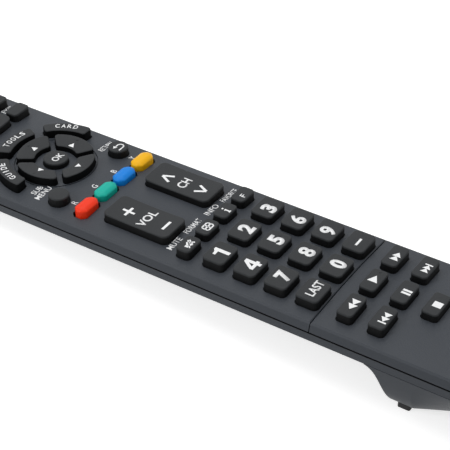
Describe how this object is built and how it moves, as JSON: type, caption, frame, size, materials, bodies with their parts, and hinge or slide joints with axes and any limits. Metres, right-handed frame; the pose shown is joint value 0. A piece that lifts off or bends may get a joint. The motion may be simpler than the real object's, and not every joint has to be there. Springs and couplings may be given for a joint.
{
  "type": "universal remote control",
  "caption": "Slim hand-held remote control with number, transport, arrow, function and colour keys, rockers and a hinged battery cover that forms a hand grip.",
  "frame": {"origin": "middle of the footprint at the height of the rubber feet's soles", "axes": "+Z out of the face, towards the user; +Y along the case towards the infrared end; +X to the user's right"},
  "size_m": [0.0478, 0.236, 0.0244],
  "materials": {
    "case_plastic": "fine-textured moulded plastic, dark grey",
    "key_rubber": "silicone rubber, dark grey, printed in white",
    "red_key": "coloured silicone rubber, satin",
    "green_key": "coloured silicone rubber, satin",
    "blue_key": "coloured silicone rubber, satin",
    "yellow_key": "coloured silicone rubber, satin",
    "window_plastic": "dark red infrared window, polished",
    "diode_plastic": "clear bluish epoxy",
    "board_laminate": "green solder mask",
    "component_black": "moulded black",
    "cell_wrap": "plain printed wrap over a steel can",
    "contact_metal": "nickel-plated spring steel",
    "foot_rubber": "soft black rubber",
    "screw_steel": "blackened zinc"
  },
  "bodies": {
    "case": {"lower_case": "case_plastic", "front_faceplate": "case_plastic", "rear_faceplate": "case_plastic", "keypad_mat": "key_rubber", "circuit_board": "board_laminate", "board_components": "component_black", "ir_window": "window_plastic", "ir_diode": "diode_plastic", "battery_left": "cell_wrap", "battery_right": "cell_wrap", "contact_plates": "contact_metal", "contact_springs": "contact_metal", "case_screws": "screw_steel"},
    "battery_cover": {"battery_cover": "case_plastic", "rubber_feet": "foot_rubber"},
    "key_rewind": {"key_rewind": "key_rubber"},
    "key_play": {"key_play": "key_rubber"},
    "key_fast_forward": {"key_fast_forward": "key_rubber"},
    "key_previous": {"key_previous": "key_rubber"},
    "key_pause": {"key_pause": "key_rubber"},
    "key_next": {"key_next": "key_rubber"},
    "key_stop": {"key_stop": "key_rubber"},
    "key_last": {"key_last": "key_rubber"},
    "key_0": {"key_0": "key_rubber"},
    "key_dash": {"key_dash": "key_rubber"},
    "key_7": {"key_7": "key_rubber"},
    "key_8": {"key_8": "key_rubber"},
    "key_9": {"key_9": "key_rubber"},
    "key_4": {"key_4": "key_rubber"},
    "key_5": {"key_5": "key_rubber"},
    "key_6": {"key_6": "key_rubber"},
    "key_1": {"key_1": "key_rubber"},
    "key_2": {"key_2": "key_rubber"},
    "key_3": {"key_3": "key_rubber"},
    "key_mute": {"key_mute": "key_rubber"},
    "key_format": {"key_format": "key_rubber"},
    "key_info": {"key_info": "key_rubber"},
    "key_favorite": {"key_favorite": "key_rubber"},
    "key_red": {"key_red": "red_key"},
    "key_green": {"key_green": "green_key"},
    "key_blue": {"key_blue": "blue_key"},
    "key_yellow": {"key_yellow": "yellow_key"},
    "key_sub_menu": {"key_sub_menu": "key_rubber"},
    "key_return": {"key_return": "key_rubber"},
    "key_ok": {"key_ok": "key_rubber"},
    "key_right": {"key_right": "key_rubber"},
    "key_up": {"key_up": "key_rubber"},
    "key_left": {"key_left": "key_rubber"},
    "key_down": {"key_down": "key_rubber"},
    "key_arc_right": {"key_arc_right": "key_rubber"},
    "key_arc_front": {"key_arc_front": "key_rubber"},
    "key_arc_left": {"key_arc_left": "key_rubber"},
    "key_menu": {"key_menu": "key_rubber"},
    "key_exit": {"key_exit": "key_rubber"},
    "key_power": {"key_power": "key_rubber"},
    "key_input": {"key_input": "key_rubber"},
    "key_centre": {"key_centre": "key_rubber"},
    "rocker_volume": {"rocker_volume": "key_rubber"},
    "rocker_channel": {"rocker_channel": "key_rubber"}
  },
  "joints": [
    {"name": "battery_cover_hinge", "type": "hinge", "parent": "case", "child": "battery_cover", "pos_m": [0, -0.11675, 0.013], "axis": [-1, 0, 0], "range_deg": [0, 75]},
    {"name": "key_rewind_press", "type": "slide", "parent": "case", "child": "key_rewind", "axis": [0, 0, -1], "range_m": [0, 0.0008], "stiffness_N_per_m": 300, "springref_m": -0.0005},
    {"name": "key_play_press", "type": "slide", "parent": "case", "child": "key_play", "axis": [0, 0, -1], "range_m": [0, 0.0008], "stiffness_N_per_m": 300, "springref_m": -0.0005},
    {"name": "key_fast_forward_press", "type": "slide", "parent": "case", "child": "key_fast_forward", "axis": [0, 0, -1], "range_m": [0, 0.0008], "stiffness_N_per_m": 300, "springref_m": -0.0005},
    {"name": "key_previous_press", "type": "slide", "parent": "case", "child": "key_previous", "axis": [0, 0, -1], "range_m": [0, 0.0008], "stiffness_N_per_m": 300, "springref_m": -0.0005},
    {"name": "key_pause_press", "type": "slide", "parent": "case", "child": "key_pause", "axis": [0, 0, -1], "range_m": [0, 0.0008], "stiffness_N_per_m": 300, "springref_m": -0.0005},
    {"name": "key_next_press", "type": "slide", "parent": "case", "child": "key_next", "axis": [0, 0, -1], "range_m": [0, 0.0008], "stiffness_N_per_m": 300, "springref_m": -0.0005},
    {"name": "key_stop_press", "type": "slide", "parent": "case", "child": "key_stop", "axis": [0, 0, -1], "range_m": [0, 0.0008], "stiffness_N_per_m": 300, "springref_m": -0.0005},
    {"name": "key_last_press", "type": "slide", "parent": "case", "child": "key_last", "axis": [0, 0, -1], "range_m": [0, 0.0008], "stiffness_N_per_m": 300, "springref_m": -0.0005},
    {"name": "key_0_press", "type": "slide", "parent": "case", "child": "key_0", "axis": [0, 0, -1], "range_m": [0, 0.0008], "stiffness_N_per_m": 300, "springref_m": -0.0005},
    {"name": "key_dash_press", "type": "slide", "parent": "case", "child": "key_dash", "axis": [0, 0, -1], "range_m": [0, 0.0008], "stiffness_N_per_m": 300, "springref_m": -0.0005},
    {"name": "key_7_press", "type": "slide", "parent": "case", "child": "key_7", "axis": [0, 0, -1], "range_m": [0, 0.0008], "stiffness_N_per_m": 300, "springref_m": -0.0005},
    {"name": "key_8_press", "type": "slide", "parent": "case", "child": "key_8", "axis": [0, 0, -1], "range_m": [0, 0.0008], "stiffness_N_per_m": 300, "springref_m": -0.0005},
    {"name": "key_9_press", "type": "slide", "parent": "case", "child": "key_9", "axis": [0, 0, -1], "range_m": [0, 0.0008], "stiffness_N_per_m": 300, "springref_m": -0.0005},
    {"name": "key_4_press", "type": "slide", "parent": "case", "child": "key_4", "axis": [0, 0, -1], "range_m": [0, 0.0008], "stiffness_N_per_m": 300, "springref_m": -0.0005},
    {"name": "key_5_press", "type": "slide", "parent": "case", "child": "key_5", "axis": [0, 0, -1], "range_m": [0, 0.0008], "stiffness_N_per_m": 300, "springref_m": -0.0005},
    {"name": "key_6_press", "type": "slide", "parent": "case", "child": "key_6", "axis": [0, 0, -1], "range_m": [0, 0.0008], "stiffness_N_per_m": 300, "springref_m": -0.0005},
    {"name": "key_1_press", "type": "slide", "parent": "case", "child": "key_1", "axis": [0, 0, -1], "range_m": [0, 0.0008], "stiffness_N_per_m": 300, "springref_m": -0.0005},
    {"name": "key_2_press", "type": "slide", "parent": "case", "child": "key_2", "axis": [0, 0, -1], "range_m": [0, 0.0008], "stiffness_N_per_m": 300, "springref_m": -0.0005},
    {"name": "key_3_press", "type": "slide", "parent": "case", "child": "key_3", "axis": [0, 0, -1], "range_m": [0, 0.0008], "stiffness_N_per_m": 300, "springref_m": -0.0005},
    {"name": "key_mute_press", "type": "slide", "parent": "case", "child": "key_mute", "axis": [0, 0, -1], "range_m": [0, 0.0008], "stiffness_N_per_m": 300, "springref_m": -0.0005},
    {"name": "key_format_press", "type": "slide", "parent": "case", "child": "key_format", "axis": [0, 0, -1], "range_m": [0, 0.0008], "stiffness_N_per_m": 300, "springref_m": -0.0005},
    {"name": "key_info_press", "type": "slide", "parent": "case", "child": "key_info", "axis": [0, 0, -1], "range_m": [0, 0.0008], "stiffness_N_per_m": 300, "springref_m": -0.0005},
    {"name": "key_favorite_press", "type": "slide", "parent": "case", "child": "key_favorite", "axis": [0, 0, -1], "range_m": [0, 0.0008], "stiffness_N_per_m": 300, "springref_m": -0.0005},
    {"name": "key_red_press", "type": "slide", "parent": "case", "child": "key_red", "axis": [0, 0, -1], "range_m": [0, 0.0008], "stiffness_N_per_m": 300, "springref_m": -0.0005},
    {"name": "key_green_press", "type": "slide", "parent": "case", "child": "key_green", "axis": [0, 0, -1], "range_m": [0, 0.0008], "stiffness_N_per_m": 300, "springref_m": -0.0005},
    {"name": "key_blue_press", "type": "slide", "parent": "case", "child": "key_blue", "axis": [0, 0, -1], "range_m": [0, 0.0008], "stiffness_N_per_m": 300, "springref_m": -0.0005},
    {"name": "key_yellow_press", "type": "slide", "parent": "case", "child": "key_yellow", "axis": [0, 0, -1], "range_m": [0, 0.0008], "stiffness_N_per_m": 300, "springref_m": -0.0005},
    {"name": "key_sub_menu_press", "type": "slide", "parent": "case", "child": "key_sub_menu", "axis": [0, 0, -1], "range_m": [0, 0.0008], "stiffness_N_per_m": 300, "springref_m": -0.0005},
    {"name": "key_return_press", "type": "slide", "parent": "case", "child": "key_return", "axis": [0, 0, -1], "range_m": [0, 0.0008], "stiffness_N_per_m": 300, "springref_m": -0.0005},
    {"name": "key_ok_press", "type": "slide", "parent": "case", "child": "key_ok", "axis": [0, 0, -1], "range_m": [0, 0.0008], "stiffness_N_per_m": 300, "springref_m": -0.0005},
    {"name": "key_right_press", "type": "slide", "parent": "case", "child": "key_right", "axis": [0, 0, -1], "range_m": [0, 0.0008], "stiffness_N_per_m": 300, "springref_m": -0.0005},
    {"name": "key_up_press", "type": "slide", "parent": "case", "child": "key_up", "axis": [0, 0, -1], "range_m": [0, 0.0008], "stiffness_N_per_m": 300, "springref_m": -0.0005},
    {"name": "key_left_press", "type": "slide", "parent": "case", "child": "key_left", "axis": [0, 0, -1], "range_m": [0, 0.0008], "stiffness_N_per_m": 300, "springref_m": -0.0005},
    {"name": "key_down_press", "type": "slide", "parent": "case", "child": "key_down", "axis": [0, 0, -1], "range_m": [0, 0.0008], "stiffness_N_per_m": 300, "springref_m": -0.0005},
    {"name": "key_arc_right_press", "type": "slide", "parent": "case", "child": "key_arc_right", "axis": [0, 0, -1], "range_m": [0, 0.0008], "stiffness_N_per_m": 300, "springref_m": -0.0005},
    {"name": "key_arc_front_press", "type": "slide", "parent": "case", "child": "key_arc_front", "axis": [0, 0, -1], "range_m": [0, 0.0008], "stiffness_N_per_m": 300, "springref_m": -0.0005},
    {"name": "key_arc_left_press", "type": "slide", "parent": "case", "child": "key_arc_left", "axis": [0, 0, -1], "range_m": [0, 0.0008], "stiffness_N_per_m": 300, "springref_m": -0.0005},
    {"name": "key_menu_press", "type": "slide", "parent": "case", "child": "key_menu", "axis": [0, 0, -1], "range_m": [0, 0.0008], "stiffness_N_per_m": 300, "springref_m": -0.0005},
    {"name": "key_exit_press", "type": "slide", "parent": "case", "child": "key_exit", "axis": [0, 0, -1], "range_m": [0, 0.0008], "stiffness_N_per_m": 300, "springref_m": -0.0005},
    {"name": "key_power_press", "type": "slide", "parent": "case", "child": "key_power", "axis": [0, 0, -1], "range_m": [0, 0.0008], "stiffness_N_per_m": 300, "springref_m": -0.0005},
    {"name": "key_input_press", "type": "slide", "parent": "case", "child": "key_input", "axis": [0, 0, -1], "range_m": [0, 0.0008], "stiffness_N_per_m": 300, "springref_m": -0.0005},
    {"name": "key_centre_press", "type": "slide", "parent": "case", "child": "key_centre", "axis": [0, 0, -1], "range_m": [0, 0.0008], "stiffness_N_per_m": 300, "springref_m": -0.0005},
    {"name": "rocker_volume_tilt", "type": "hinge", "parent": "case", "child": "rocker_volume", "pos_m": [-0.011, 0.02537, 0.0184], "axis": [1, 0, 0], "range_deg": [-2.5, 2.5], "stiffness_Nm_per_rad": 0.1},
    {"name": "rocker_channel_tilt", "type": "hinge", "parent": "case", "child": "rocker_channel", "pos_m": [0.011, 0.02537, 0.0184], "axis": [1, 0, 0], "range_deg": [-2.5, 2.5], "stiffness_Nm_per_rad": 0.1}
  ]
}
